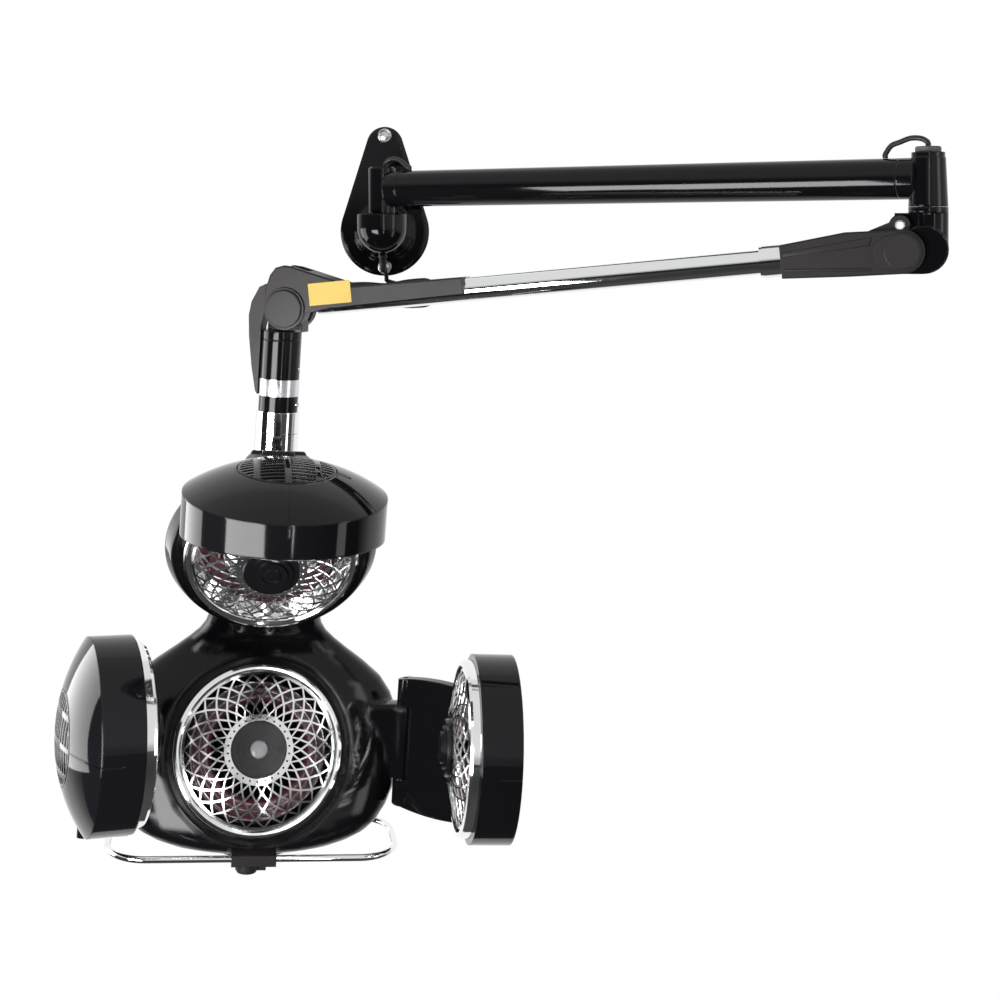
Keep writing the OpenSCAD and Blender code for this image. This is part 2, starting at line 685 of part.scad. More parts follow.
// A low crown is a flat cone, a high one part of a sphere.
module head_form(s, band, dome, tilt) {
  ball = ball_r(head_r, dome);
  translate([0, 0, band/2]) rotate([tilt, 0, 0]) intersection() {
    translate([0, 0, -band]) cylinder(r = head_r - s, h = 2*band + dome, $fn = 128);
    if (dome < flat_below) {
      translate([0, 0, -band]) cylinder(r = head_r + 9, h = 1.5*band - s, $fn = 64);
      translate([0, 0, band/2 - s - 0.01]) cylinder(r1 = head_r, r2 = vent_r + 2, h = dome, $fn = 128);
    } else translate([0, 0, band/2 + dome - ball]) rotate([90, 0, 0]) sphere(r = ball - s, $fn = 160);
  }
}
module vent_slots() {
  difference() {
    circle(r = vent_r - 4, $fn = 96);
    for (x = [-34, 0, 34]) translate([x - bar_w/2, -vent_r]) square([bar_w, 2*vent_r]);
    for (i = [-6:5]) translate([-vent_r, (i + 0.5)*louvre - 1.7]) square([2*vent_r, 3.4]);
  }
}
module shell(band, dome, tilt, inset, lug_x, lug_z, lug_half) {
  color(gloss_black) difference() {
    union() {
      intersection() {
        difference() {
          head_form(0, band, dome, tilt);
          translate([0, 0, band/2]) rotate([tilt, 0, 0]) {
            linear_extrude(band + dome) vent_slots();
            translate([0, 0, band/2 + dome - vent_drop(dome) - 1]) ring(vent_r, vent_r - 1.5, 20);
          }
          difference() {
            translate([-seam/2, -head_r - over, band/2]) cube([seam, head_r - vent_r + over, band + dome]);
            head_form(seam, band, dome, tilt);
          }
        }
        cylinder(r = head_r + 9, h = 2*band + dome, $fn = 64);
      }
      translate([lug_x, reach, lug_z]) rotate([0, 90, 0])
        cylinder(r = knuckle_r, h = 2*lug_half, center = true, $fn = 64);
      translate([lug_x - lug_half, reach - 50, lug_z - knuckle_r + 2])
        cube([2*lug_half, 50, 2*knuckle_r - 4]);
    }
    intersection() {
      head_form(shell_t, band, dome, tilt);
      translate([0, 0, inset + lip_t]) cylinder(r = head_r + 9, h = band + dome, $fn = 64);
    }
    translate([0, 0, -over]) cylinder(r = bezel_r*wing_k + gap, h = inset + lip_t + 2*over, $fn = 128);
    translate([lug_x, reach, lug_z]) rotate([0, 90, 0])
      cylinder(r = hinge_pin_r + fit, h = 2*lug_half + 2*over, center = true, $fn = 48);
  }
}
module core(inset) { translate([0, 0, inset]) scale(wing_k) children(); }

// The chrome bezel and the mirror dish are one spun piece.
dish_lip_r = grille_r + 0.6;
dish_depth = 46;
dish_t = 1.5;
dish_hole = 12;
grille_z = 3 - bezel_out;
function dish_z(r) = grille_z + 1.4 + dish_depth*(1 - pow(r/dish_lip_r, 2));
dish_steps = 9;
function dish_r(i) = dish_lip_r + (dish_hole - dish_lip_r)*i/dish_steps;
flange_r = core_r - shell_t - 2*gap;
module reflector() {
  inner = [for (i = [0:dish_steps]) let (r = dish_r(i)) [r, dish_z(r)]];
  outer = [for (i = [dish_steps:-1:1]) let (r = dish_r(i)) [r, dish_z(r) + dish_t]];
  color(chrome) rotate_extrude($fn = 128) {
    polygon(concat(
      [[flange_r, lip_t + lip_gap + 4], [flange_r, lip_t + lip_gap], [bezel_r, lip_t + lip_gap],
       [bezel_r, 5 - bezel_out], [bezel_r - 1.5, 1.5 - bezel_out],
       [bezel_r - 4.5, -bezel_out], [dish_lip_r + 2, -bezel_out], [dish_lip_r, 1.2 - bezel_out]],
      inner, outer, [[dish_lip_r + 3, lip_t + lip_gap + 4]]));
  }
}
lamp_z = dish_z(lamp_ring_r) - (lamp_r + gap)*norm([1, 2*dish_depth*lamp_ring_r/(dish_lip_r*dish_lip_r)]);
module ring_lamp() {
  color(ruby) translate([0, 0, lamp_z]) rotate_extrude($fn = 128)
    translate([lamp_ring_r, 0]) circle(r = lamp_r, $fn = 48);
}

// Wire grille: spiral wires cross to leave diamonds, with a zig-zag at the rim, on a dome.
grille_sphere = ball_r(grille_r, grille_h);
eye_r = hub_r + 11;
rim_in = grille_r - 3;
wire_t = 1.6;
function lattice_r(i) = eye_r + (rim_in - eye_r)*i/lattice_rows;
function lattice(i, k) = let (a = (k + i/2)*360/spokes) lattice_r(i)*[cos(a), sin(a)];
function mean(p) = [for (q = p) 1/len(p)]*p;
function drawn_in(p) = let (c = mean(p)) [for (q = p) c + (q - c)*(1 - wire_w/norm(q - c))];
module grille_pattern() {
  difference() {
    circle(r = grille_r, $fn = 128);
    circle(r = hub_r, $fn = 96);
    for (k = [0:spokes - 1]) {
      rotate(360*k/spokes) translate([eye_r - 4.5, 0]) circle(r = 1.4, $fn = 16);
      for (i = [0:lattice_rows - 2])
        polygon(drawn_in([lattice(i, k), lattice(i + 1, k), lattice(i + 2, k - 1), lattice(i + 1, k - 1)]));
      polygon(drawn_in([lattice(0, k), lattice(1, k), lattice(0, k + 1)]));
      polygon(drawn_in([lattice(lattice_rows, k), lattice(lattice_rows - 1, k), lattice(lattice_rows, k - 1)]));
    }
  }
}
module grille() {
  color(chrome) intersection() {
    translate([0, 0, grille_z - grille_h - over]) linear_extrude(grille_h + 2*over + 1)
      rotate(90) grille_pattern();
    translate([0, 0, grille_z - grille_h + grille_sphere]) difference() {
      sphere(r = grille_sphere, $fn = 256);
      sphere(r = grille_sphere - wire_t, $fn = 256);
    }
  }
}
grille_top = grille_z - grille_h;
module hub() {
  color(satin_black) rotate_extrude($fn = 96)
    polygon([[0, dish_z(dish_hole) + 6], [dish_hole - gap, dish_z(dish_hole) + 6],
      [dish_hole - gap, grille_top + 8], [hub_r - gap, grille_top + 8],
      [hub_r - gap, grille_top + 1.7], [hub_r + 3, grille_top + 1.7],
      [hub_r + 3, grille_top - 1.5], [hub_r + 1.5, grille_top - 3.5], [hub_r - 7, grille_top - 3.5],
      [hub_r - 7, grille_top - 6.5], [hub_r - 14, grille_top - 6.5], [hub_r - 14, grille_top - 9.5],
      [12.5, grille_top - 9.5], [12.5, grille_top - 8], [0, grille_top - 8]]);
}

// Wing frames. A wing is a link on a body hinge, with a head on the link's outer hinge.
hinge_x = 196;
hinge_y = 30;
link_z = -588;
side_lug_z = -548;
side_lug_half = 28;
top_lug_z = 31;
top_lug_half = 24;
top_hinge = [0, -91, -187];
mid_z = band_h/2;

// Side link frame: origin on the body hinge, x up, -y to the outer hinge, z outward.
module at_side_link(side, swing) {
  at_hood() translate([side*hinge_x, hinge_y, link_z]) rotate(side*swing) rotate([0, -90, 0])
    mirror([0, 0, side > 0 ? 1 : 0]) children();
}
// Side head frame: origin at the rim's centre, y to the hinge, z outward.
module at_side_head(side, swing, turn, height) {
  at_hood() translate([side*hinge_x, hinge_y, 0]) rotate(side*swing) translate([0, -link_len, 0])
    rotate(-side*swing - side*turn) translate([-side*mid_z, -reach, -height]) rotate([0, side*90, 0])
    mirror([side > 0 ? 1 : 0, 0, 0]) children();
}
module at_left_head() { at_side_head(-1, left_swing, left_turn, left_z) children(); }
module at_right_head() { at_side_head(1, right_swing, right_turn, right_z) children(); }
module at_top_link() { at_hood() translate(top_hinge) rotate([top_swing, 0, 0]) children(); }
module at_top_head() {
  at_top_link() translate([0, -link_len, 0]) rotate([top_tip - top_swing, 0, 0])
    translate([0, -reach, -top_lug_z]) children();
}
link_curve = 3.4;
notch = 4;
module link_plate(len, half, knuckle_half, lug_c, lug_half, thick) {
  side_r = link_curve*half;
  difference() {
    intersection() {
      rotate([0, 90, 0]) linear_extrude(2*half, center = true) {
        circle(r = knuckle_r, $fn = 64);
        translate([0, -len]) circle(r = knuckle_r, $fn = 64);
        translate([-thick/2, -len]) square([thick, len]);
      }
      translate([0, -len/2, -2*knuckle_r]) linear_extrude(4*knuckle_r) intersection() {
        square([2*half, len + 4*knuckle_r], center = true);
        translate([side_r - half, 0]) circle(r = side_r, $fn = 128);
        translate([half - side_r, 0]) circle(r = side_r, $fn = 128);
      }
    }
    translate([-knuckle_half - gap, -knuckle_r - notch, -2*knuckle_r])
      cube([2*(knuckle_half + gap), 60, 4*knuckle_r]);
    translate([lug_c - lug_half - gap, -len - 60 + knuckle_r + notch, -2*knuckle_r])
      cube([2*(lug_half + gap), 60, 4*knuckle_r]);
    rotate([0, 90, 0]) cylinder(r = hinge_pin_r + fit, h = 2*half + 2*over, center = true, $fn = 48);
    translate([0, -len, 0]) rotate([0, 90, 0])
      cylinder(r = hinge_pin_r + fit, h = 2*half + 2*over, center = true, $fn = 48);
  }
}
module link_pins(len, half, lug_c, lug_half) {
  color(steel) {
    rotate([0, 90, 0]) cylinder(r = hinge_pin_r, h = 2*half - 14, center = true, $fn = 48);
    translate([lug_c, -len, 0]) rotate([0, 90, 0])
      cylinder(r = hinge_pin_r, h = 2*lug_half + 28, center = true, $fn = 48);
  }
}
side_half = 92;
body_knuckle_half = 50;
link_t = 15;
link_lug_c = side_lug_z - link_z;
top_half = 44;
top_knuckle_half = 20;
module side_link() {
  color(gloss_black) link_plate(link_len, side_half, body_knuckle_half, link_lug_c, side_lug_half, link_t);
}
module side_pins() { link_pins(link_len, side_half, link_lug_c, side_lug_half); }

// Body: a moulded bulb with a neck, lofted through stations, and a bowl for the upper head
lower_head = [0, 16, -597];
upper_head = [0, -66, -317];
bowl_seat = 20;
bowl_rise = 52;
bowl_wall = 5;
bowl_ball = ball_r(ring_r, bowl_rise);
guard_z = -720;
guard_front = -44;
guard_back = 102;
guard_corner = 52;
clamp_half = 29;
clamp_half_h = 7;
clamp_front = 10;
clamp_l = 52;
panel_y = 140;
panel_z = -600;
panel_sunk = 9;
panel_w = 120;
panel_h = 80;
module bowl_sphere(s) {
  translate([0, 0, bowl_seat + bowl_rise - bowl_ball]) sphere(r = bowl_ball - s, $fn = 160);
}
// Each station: height, half width, front y, back y
stations = [[-728, 40, 0, 50], [-724, 94, -18, 74], [-712, 138, -30, 96], [-692, 168, -34, 114],
  [-655, 189, -22, 132], [-605, 196, -8, 140], [-555, 190, 8, 138], [-512, 166, 26, 130],
  [-474, 117, 42, 116], [-446, 86, 32, 102], [-420, 75, 8, 92], [-390, 77, -12, 84],
  [-350, 78, -20, 72], [-300, 64, -14, 52], [-262, 44, -8, 36], [-236, 34, -6, 32]];
body_rings = 30;
body_sides = 44;
bulge = 2.35;
function cubic(a, b, c, d, t) = b + 0.5*t*((c - a) + t*((2*a - 5*b + 4*c - d) + t*(3*(b - c) + d - a)));
function station(i) = stations[max(0, min(len(stations) - 1, i))];
function along(s) = let (i = min(floor(s), len(stations) - 2), t = s - i)
  [for (c = [0:3]) cubic(station(i - 1)[c], station(i)[c], station(i + 1)[c], station(i + 2)[c], t)];
function signed_pow(v, e) = sign(v)*pow(abs(v), e);
function body_ring(s) = let (p = along(s)) [for (k = [0:body_sides - 1]) let (a = 360*k/body_sides)
  [p[1]*signed_pow(cos(a), 2/bulge), (p[2] + p[3])/2 + (p[3] - p[2])/2*signed_pow(sin(a), 2/bulge), p[0]]];
module loft_body() {
  pts = [for (i = [0:body_rings]) each body_ring(i*(len(stations) - 1)/body_rings)];
  turned = [for (f = sweep_faces(body_rings + 1, body_sides)) [for (i = [len(f) - 1:-1:0]) f[i]]];
  polyhedron(points = pts, faces = turned, convexity = 6);
}
module at_lower_head() { at_hood() translate(lower_head) rotate([-90 - lower_tilt, 0, 0]) children(); }
module at_upper_head() { at_hood() translate(upper_head) rotate([-90 + upper_tilt, 0, 0]) children(); }
module head_seat() { cylinder(r = ring_r, h = bowl_seat, $fn = 128); }
module head_cut() {
  intersection() {
    translate([0, 0, lip_t]) cylinder(r = core_r - shell_t, h = bowl_seat + bowl_rise, $fn = 128);
    bowl_sphere(bowl_wall);
  }
  translate([0, 0, -over]) cylinder(r = bezel_r + gap, h = lip_t + 2*over, $fn = 128);
  translate([0, 0, -ring_r]) cylinder(r = ring_r - 0.6, h = ring_r, $fn = 128);
}
module body_shell() {
  color(gloss_black) difference() {
    union() {
      at_hood() {
        loft_body();
        translate([0, 0, body_top_z - 60]) cylinder(r = stem_r + 9, h = 60, $fn = 96);
        for (s = [-1, 1]) translate([s*hinge_x, hinge_y, link_z - body_knuckle_half]) {
          cylinder(r = knuckle_r, h = 2*body_knuckle_half, $fn = 64);
          translate([s > 0 ? -50 : 0, -4, 0]) cube([50, knuckle_r + 14, 2*body_knuckle_half]);
        }
        translate(top_hinge) rotate([0, 90, 0])
          cylinder(r = knuckle_r, h = 2*top_knuckle_half, center = true, $fn = 64);
        translate(top_hinge + [-top_knuckle_half, -2, -24]) cube([2*top_knuckle_half, 12, 24]);
      }
      at_lower_head() head_seat();
      at_upper_head() intersection() {
        cylinder(r = ring_r, h = bowl_seat + bowl_rise + over, $fn = 128);
        bowl_sphere(0);
      }
    }
    at_lower_head() head_cut();
    at_upper_head() head_cut();
    at_hood() {
      for (s = [-1, 1], e = [0, 1]) translate([s*hinge_x, hinge_y, link_z + (2*e - 1)*body_knuckle_half])
        mirror([0, 0, 1 - e]) cylinder(r = knuckle_r + 1.5, h = side_half, $fn = 64);
      for (e = [0, 1]) translate(top_hinge) mirror([1 - e, 0, 0]) translate([top_knuckle_half, 0, 0])
        rotate([0, 90, 0]) cylinder(r = knuckle_r + 1.5, h = top_half, $fn = 64);
      for (s = [-1, 1]) translate([s*hinge_x, hinge_y, link_z - body_knuckle_half - over])
        cylinder(r = hinge_pin_r + fit, h = 2*body_knuckle_half + 2*over, $fn = 48);
      translate([0, panel_y - panel_sunk, panel_z]) panel_block(gap, 3*panel_sunk);
      translate([-clamp_half - gap, guard_front - clamp_front - over, guard_z - 4*clamp_half_h])
        cube([2*(clamp_half + gap), clamp_l + over + gap, 5*clamp_half_h]);
      translate(top_hinge) rotate([0, 90, 0])
        cylinder(r = hinge_pin_r + fit, h = 2*top_knuckle_half + 2*over, center = true, $fn = 48);
    }
  }
}
module panel_block(room, depth) {
  translate([-panel_w/2 - room, 0, -panel_h/2 - room]) cube([panel_w + 2*room, depth, panel_h + 2*room]);
}
module in_both_heads() {
  at_lower_head() children();
  at_upper_head() children();
}

// Guard ring: a chrome tube loop in a clamp under the body
module bent_tube(r, bend, angle) {
  rotate_extrude(angle = angle, $fn = 96) translate([bend, 0]) circle(r = r, $fn = 32);
}
module rod_along_x(r, len) { rotate([0, 90, 0]) cylinder(r = r, h = len, $fn = 32); }
module guard_ring() {
  wide = guard_w - guard_corner;
  deep = guard_back - guard_front - 2*guard_corner;
  color(chrome) at_hood() translate([0, (guard_front + guard_back)/2, guard_z]) {
    for (q = [[1, 1, 0], [-1, 1, 90], [-1, -1, 180], [1, -1, 270]])
      translate([q[0]*wide, q[1]*deep/2, 0]) rotate(q[2]) bent_tube(guard_r, guard_corner, 90);
    for (s = [-1, 1]) {
      translate([-wide, s*(deep/2 + guard_corner), 0]) rod_along_x(guard_r, 2*wide);
      translate([s*(wide + guard_corner), deep/2, 0]) rotate(-90) rod_along_x(guard_r, deep);
    }
  }
}
clamp_y = -28;
module ring_clamp() {
  color(satin_black) at_hood() difference() {
    translate([-clamp_half, guard_front - clamp_front, guard_z - clamp_half_h])
      cube([2*clamp_half, clamp_l, 2*clamp_half_h]);
    translate([-40, guard_front, guard_z]) rod_along_x(guard_r + fit, 80);
  }
}
module clamp_knob() {
  color(satin_black) at_hood() translate([-8, clamp_y, guard_z - clamp_half_h - gap]) {
    translate([0, 0, -12]) cylinder(r = 15, h = 12, $fn = 64);
    translate([0, 0, -15]) cylinder(r = 13, h = 4, $fn = 64);
    translate([0, -4, -13]) cube([25, 8, 6]);
  }
}

// Controls on the body's back
module control_panel() {
  color(satin_black) at_hood() translate([0, panel_y, panel_z]) difference() {
    translate([0, -panel_sunk, 0]) panel_block(0, panel_sunk + 4);
    translate([-28, -10, 4]) rotate([-90, 0, 0]) cylinder(r = 4.05, h = 20, $fn = 48);
    translate([24, -10, -12]) cube([16.6, 20, 24.6]);
  }
}
module timer_dial() {
  color(satin_black) at_hood() translate([-28, panel_y, panel_z + 4]) rotate([-90, 0, 0]) {
    translate([0, 0, -6]) cylinder(r = 4, h = 12, $fn = 48);
    translate([0, 0, 4 + gap]) cylinder(r1 = 20, r2 = 17, h = 14, $fn = 96);
  }
}
module power_switch() {
  color([0.5, 0.05, 0.05]) at_hood() translate([32.3, panel_y, panel_z + 0.3]) intersection() {
    translate([-8, -6, -12]) cube([16, 16, 24]);
    rotate([0, 90, 0]) translate([0, -5, -8]) cylinder(r = 12, h = 16, $fn = 64);
  }
}

wall_plate();
bearing_bowl();
wall_spindle();
mains_lead();
mains_hank();
mains_plug();
wall_barrel();
arm_tube();
outer_barrel();
barrel_cap();
arm_cables();
shoulder_housing();
shoulder_pins();
shoulder_cover();
pivot_caps();
forearm_collar();
forearm_tube();
balance_spring();
elbow_cover();
elbow_pin();
rod_clevis();
tension_rod();
elbow_head();
cable_cover();
hanger_tube();
upper_collar();
hood_stem();
lower_collar();
body_shell();
in_both_heads() reflector();  // body_reflectors
in_both_heads() ring_lamp();  // body_lamps
in_both_heads() grille();  // body_grilles
in_both_heads() hub();  // body_hubs
guard_ring();
ring_clamp();
clamp_knob();
control_panel();
timer_dial();
power_switch();
at_side_link(-1, left_swing) side_link();  // left_link
at_side_link(-1, left_swing) side_pins();  // left_link_pins
at_left_head() shell(band_h, dome_h, 0, 0, side_lug_z + left_z, mid_z, side_lug_half);  // left_shell
at_left_head() core(0) reflector();  // left_reflector
at_left_head() core(0) ring_lamp();  // left_lamp
at_left_head() core(0) grille();  // left_grille
at_left_head() core(0) hub();  // left_hub
at_side_link(1, right_swing) side_link();  // right_link
at_side_link(1, right_swing) side_pins();  // right_link_pins
at_right_head() shell(band_h, right_dome_h, 0, 0, side_lug_z + right_z, mid_z, side_lug_half);  // right_shell
at_right_head() core(0) reflector();  // right_reflector
at_right_head() core(0) ring_lamp();  // right_lamp
at_right_head() core(0) grille();  // right_grille
at_right_head() core(0) hub();  // right_hub
at_top_link()  // top_link
  color(gloss_black) link_plate(link_len, top_half, top_knuckle_half, 0, top_lug_half, link_t);
at_top_link() link_pins(link_len, top_half, 0, top_lug_half);  // top_link_pins
at_top_head() shell(top_band_h, dome_h, top_tilt, top_inset, 0, top_lug_z, top_lug_half);  // top_shell
at_top_head() core(top_inset) reflector();  // top_reflector
at_top_head() core(top_inset) ring_lamp();  // top_lamp
at_top_head() core(top_inset) grille();  // top_grille
at_top_head() core(top_inset) hub();  // top_hub
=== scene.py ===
import math

import bmesh
import bpy
from mathutils import Matrix, Vector


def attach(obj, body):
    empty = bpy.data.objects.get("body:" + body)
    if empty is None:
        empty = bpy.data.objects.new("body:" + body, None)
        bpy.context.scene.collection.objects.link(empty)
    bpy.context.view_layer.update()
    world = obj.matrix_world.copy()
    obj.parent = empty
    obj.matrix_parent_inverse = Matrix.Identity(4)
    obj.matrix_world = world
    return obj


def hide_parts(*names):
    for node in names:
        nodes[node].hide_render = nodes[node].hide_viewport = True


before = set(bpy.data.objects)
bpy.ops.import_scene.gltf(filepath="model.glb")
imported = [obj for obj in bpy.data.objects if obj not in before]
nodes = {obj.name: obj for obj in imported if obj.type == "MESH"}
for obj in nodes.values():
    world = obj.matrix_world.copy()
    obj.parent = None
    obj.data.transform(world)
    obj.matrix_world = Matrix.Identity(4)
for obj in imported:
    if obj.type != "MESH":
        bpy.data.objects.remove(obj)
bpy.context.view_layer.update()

# ---- Camera ----
# A level camera 2.3 m from the wall and a little right of the plate. The picture's centre is
# lowered with the lens shift, as the photographer's crop did, so that uprights stay upright.
lens = bpy.data.cameras.new("studio_camera")
lens.lens = 57.6
lens.sensor_width = 36.0
lens.shift_y = -0.249
camera = bpy.data.objects.new("studio_camera", lens)
camera.location = (0.1655, -2.305, -0.0714)
camera.rotation_euler = (math.pi / 2, 0, 0)
bpy.context.scene.collection.objects.link(camera)
bpy.context.scene.camera = camera

# ---- Mains lead ----
# A 6 mm round lead in black PVC. It leaves the foot of the bearing bowl through a tapered
# rubber sleeve, passes the lower wall screw, and is put away in a hank of four flat loops that
# a strap holds at the waist, behind the forearm. A moulded three-pin plug is on its end.


def smudges_group():
    """Broad, faint changes of polish, from wiping and handling."""
    group = bpy.data.node_groups.new("smudges", "ShaderNodeTree")
    face = group.interface
    for name, value in (("Size", 9.0), ("Clean", 0.1), ("Dull", 0.2)):
        face.new_socket(name, in_out="INPUT", socket_type="NodeSocketFloat").default_value = value
    face.new_socket("Roughness", in_out="OUTPUT", socket_type="NodeSocketFloat")
    tree = group.nodes
    entry, leave = tree.new("NodeGroupInput"), tree.new("NodeGroupOutput")
    place, cloud = tree.new("ShaderNodeTexCoord"), tree.new("ShaderNodeTexNoise")
    level = tree.new("ShaderNodeMapRange")
    cloud.inputs["Detail"].default_value = 5.0
    level.inputs["From Min"].default_value = 0.35
    level.inputs["From Max"].default_value = 0.7
    group.links.new(place.outputs["Object"], cloud.inputs["Vector"])
    group.links.new(entry.outputs["Size"], cloud.inputs["Scale"])
    group.links.new(cloud.outputs["Fac"], level.inputs["Value"])
    group.links.new(entry.outputs["Clean"], level.inputs["To Min"])
    group.links.new(entry.outputs["Dull"], level.inputs["To Max"])
    group.links.new(level.outputs["Result"], leave.inputs["Roughness"])
    return group


def grain_group():
    """The fine pebble of a moulding or a paint, as a height."""
    group = bpy.data.node_groups.new("fine_grain", "ShaderNodeTree")
    face = group.interface
    face.new_socket("Fineness", in_out="INPUT", socket_type="NodeSocketFloat").default_value = 900.0
    face.new_socket("Height", in_out="OUTPUT", socket_type="NodeSocketFloat")
    tree = group.nodes
    entry, leave = tree.new("NodeGroupInput"), tree.new("NodeGroupOutput")
    place, pebble = tree.new("ShaderNodeTexCoord"), tree.new("ShaderNodeTexNoise")
    pebble.inputs["Detail"].default_value = 2.0
    group.links.new(place.outputs["Object"], pebble.inputs["Vector"])
    group.links.new(entry.outputs["Fineness"], pebble.inputs["Scale"])
    group.links.new(pebble.outputs["Fac"], leave.inputs["Height"])
    return group


smudges = smudges_group()
fine_grain = grain_group()


def finish(name, colour, clean, dull, metallic=0.0, patch=9.0, fineness=900.0, relief=0.1,
    soft_edge=0.0, **sockets):
    """A surface finish: its colour, its roughness where clean and where dull, how fine its smudges
    and its grain are, how deep the grain looks, and how far edges look rounded, in metres."""
    material = bpy.data.materials.new(name)
    material.use_nodes = True
    tree = material.node_tree
    shader = tree.nodes["Principled BSDF"]
    shader.inputs["Base Color"].default_value = (*colour, 1.0)
    shader.inputs["Metallic"].default_value = metallic
    for socket, value in sockets.items():
        shader.inputs[socket.replace("_", " ")].default_value = value
    marks = tree.nodes.new("ShaderNodeGroup")
    marks.node_tree = smudges
    marks.inputs["Size"].default_value = patch
    marks.inputs["Clean"].default_value = clean
    marks.inputs["Dull"].default_value = dull
    tree.links.new(marks.outputs["Roughness"], shader.inputs["Roughness"])
    grain = tree.nodes.new("ShaderNodeGroup")
    grain.node_tree = fine_grain
    grain.inputs["Fineness"].default_value = fineness
    bump = tree.nodes.new("ShaderNodeBump")
    bump.inputs["Strength"].default_value = relief
    bump.inputs["Distance"].default_value = 0.0002
    tree.links.new(grain.outputs["Height"], bump.inputs["Height"])
    if soft_edge:
        rounding = tree.nodes.new("ShaderNodeBevel")
        rounding.samples = 6
        rounding.inputs["Radius"].default_value = soft_edge
        tree.links.new(rounding.outputs["Normal"], bump.inputs["Normal"])
    tree.links.new(bump.outputs["Normal"], shader.inputs["Normal"])
    return material


def dress(material, *names):
    """Gives CAD nodes their finish; their shapes stay as they are."""
    for name in names:
        nodes[name].material_slots[0].material = material


def piece(bm, name, body, material, place=Matrix(), sharp=35):
    """Turns a finished bmesh into a piece that rides on a body."""
    bmesh.ops.transform(bm, matrix=place, space=Matrix(), verts=bm.verts)
    bmesh.ops.recalc_face_normals(bm, faces=bm.faces)
    mesh = bpy.data.meshes.new(name)
    bm.to_mesh(mesh)
    bm.free()
    mesh.polygons.foreach_set("use_smooth", [True] * len(mesh.polygons))
    mesh.set_sharp_from_angle(angle=math.radians(sharp))
    mesh.materials.append(material)
    made = bpy.data.objects.new(name, mesh)
    bpy.context.scene.collection.objects.link(made)
    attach(made, body)
    return made


def turned(profile, steps=64):
    """A lathe-turned shape: profile is (radius, height) in metres, from one end to the other."""
    bm = bmesh.new()
    line = [bm.verts.new((radius, 0, height)) for radius, height in profile]
    edges = [bm.edges.new(pair) for pair in zip(line, line[1:])]
    bmesh.ops.spin(bm, geom=line + edges, cent=(0, 0, 0), axis=(0, 0, 1), angle=2 * math.pi,
        steps=steps, use_merge=True)
    bmesh.ops.remove_doubles(bm, verts=bm.verts, dist=1e-6)
    return bm


def along(start, direction):
    """A place at start whose z axis points in direction."""
    return Matrix.Translation(start) @ Vector(direction).to_track_quat("Z", "Y").to_matrix().to_4x4()


def cable(name, points, radius, body):
    """A round black cable along points, as one open spline."""
    line = bpy.data.curves.new(name, "CURVE")
    line.dimensions = "3D"
    line.bevel_depth = radius
    line.bevel_resolution = 5
    line.use_fill_caps = True
    spline = line.splines.new("POLY")
    spline.points.add(len(points) - 1)
    for point, where in zip(spline.points, points):
        point.co = (*where, 1.0)
    spline.use_smooth = True
    line.materials.append(cable_black)
    made = bpy.data.objects.new(name, line)
    bpy.context.scene.collection.objects.link(made)
    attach(made, body)
    return made


cable_black = finish("cable_black", (0.006, 0.006, 0.0065), 0.42, 0.58, patch=40.0, relief=0.25)

# The lead's places are in millimetres from the wall plate's middle, up to lead_line.
gland_lean = math.radians(19.5)
gland_reach = 38.3
lead_out = Vector((0, math.sin(gland_lean), -math.cos(gland_lean)))
lead_exit = Vector((0, -60, -40)) + gland_reach * lead_out
lead_start = [lead_exit, lead_exit + 5 * lead_out, (1, -39, -88), (2, -31.5, -96), (3, -25, -103.5),
    (3.5, -19.5, -109.5), (4, -15.5, -113.8)]
run, fold, pitch, loops, per_loop = 104.0, 18.0, 7.0, 4, 72
bend = math.pi * fold
lap = 2 * run + 2 * bend
hank_x, hank_y, hank_z = 4, -13.5, -134
hank_slope, waist_pinch, waist_spread = 0.06, 0.22, 500


def hank_point(i):
    """The lead's line in the hank: flat loops, a little askew and drawn in at the waist, each
    one pitch further out from the wall than the last."""
    share, turns = (i / per_loop) % 1.0, i // per_loop
    t = share * lap
    if t < run / 2:
        x, z = t, fold
    elif t < run / 2 + bend:
        a = math.pi / 2 - math.pi * (t - run / 2) / bend
        x, z = run / 2 + fold * math.cos(a), fold * math.sin(a)
    elif t < 1.5 * run + bend:
        x, z = run / 2 - (t - run / 2 - bend), -fold
    elif t < 1.5 * run + 2 * bend:
        a = -math.pi / 2 - math.pi * (t - 1.5 * run - bend) / bend
        x, z = -run / 2 + fold * math.cos(a), fold * math.sin(a)
    else:
        x, z = -run / 2 + (t - 1.5 * run - 2 * bend), fold
    climb = max(0.0, min(1.0, (share - 0.62) / 0.3))
    drawn_in = 1 - waist_pinch * math.exp(-x * x / waist_spread)
    return (hank_x + x, hank_y - pitch * (turns + climb), hank_z + hank_slope * x + z * drawn_in)


def eased(points, steps):
    """More points on a smooth curve through the given ones."""
    ends = [points[0]] + list(points) + [points[-1]]
    out = []
    for a, b, c, d in zip(ends, ends[1:], ends[2:], ends[3:]):
        for k in range(steps):
            t = k / steps
            out.append(tuple(
                q + 0.5 * t * (r - p + t * (2 * p - 5 * q + 4 * r - s + t * (3 * (q - r) + s - p)))
                for p, q, r, s in zip(a, b, c, d)))
    return out + [tuple(points[-1])]


hank_line = [hank_point(i) for i in range(3, per_loop * loops - 20)]
tail = [hank_line[-1], (-74, -39, -128), (-81, -35, -128), (-88, -31, -129), (-95, -28, -130),
    (-100.6, -28, -130)]
lead_line = eased(lead_start + [hank_line[0]], 4)[:-1] + hank_line[:-1] + eased(tail, 4)
lead_line = [tuple(c / 1000 for c in p) for p in lead_line]
lead_r = 0.003


mains_lead = cable("mains_cable", lead_line, lead_r, "wall")
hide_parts("mains_lead", "mains_hank")
dress(cable_black, "mains_plug")

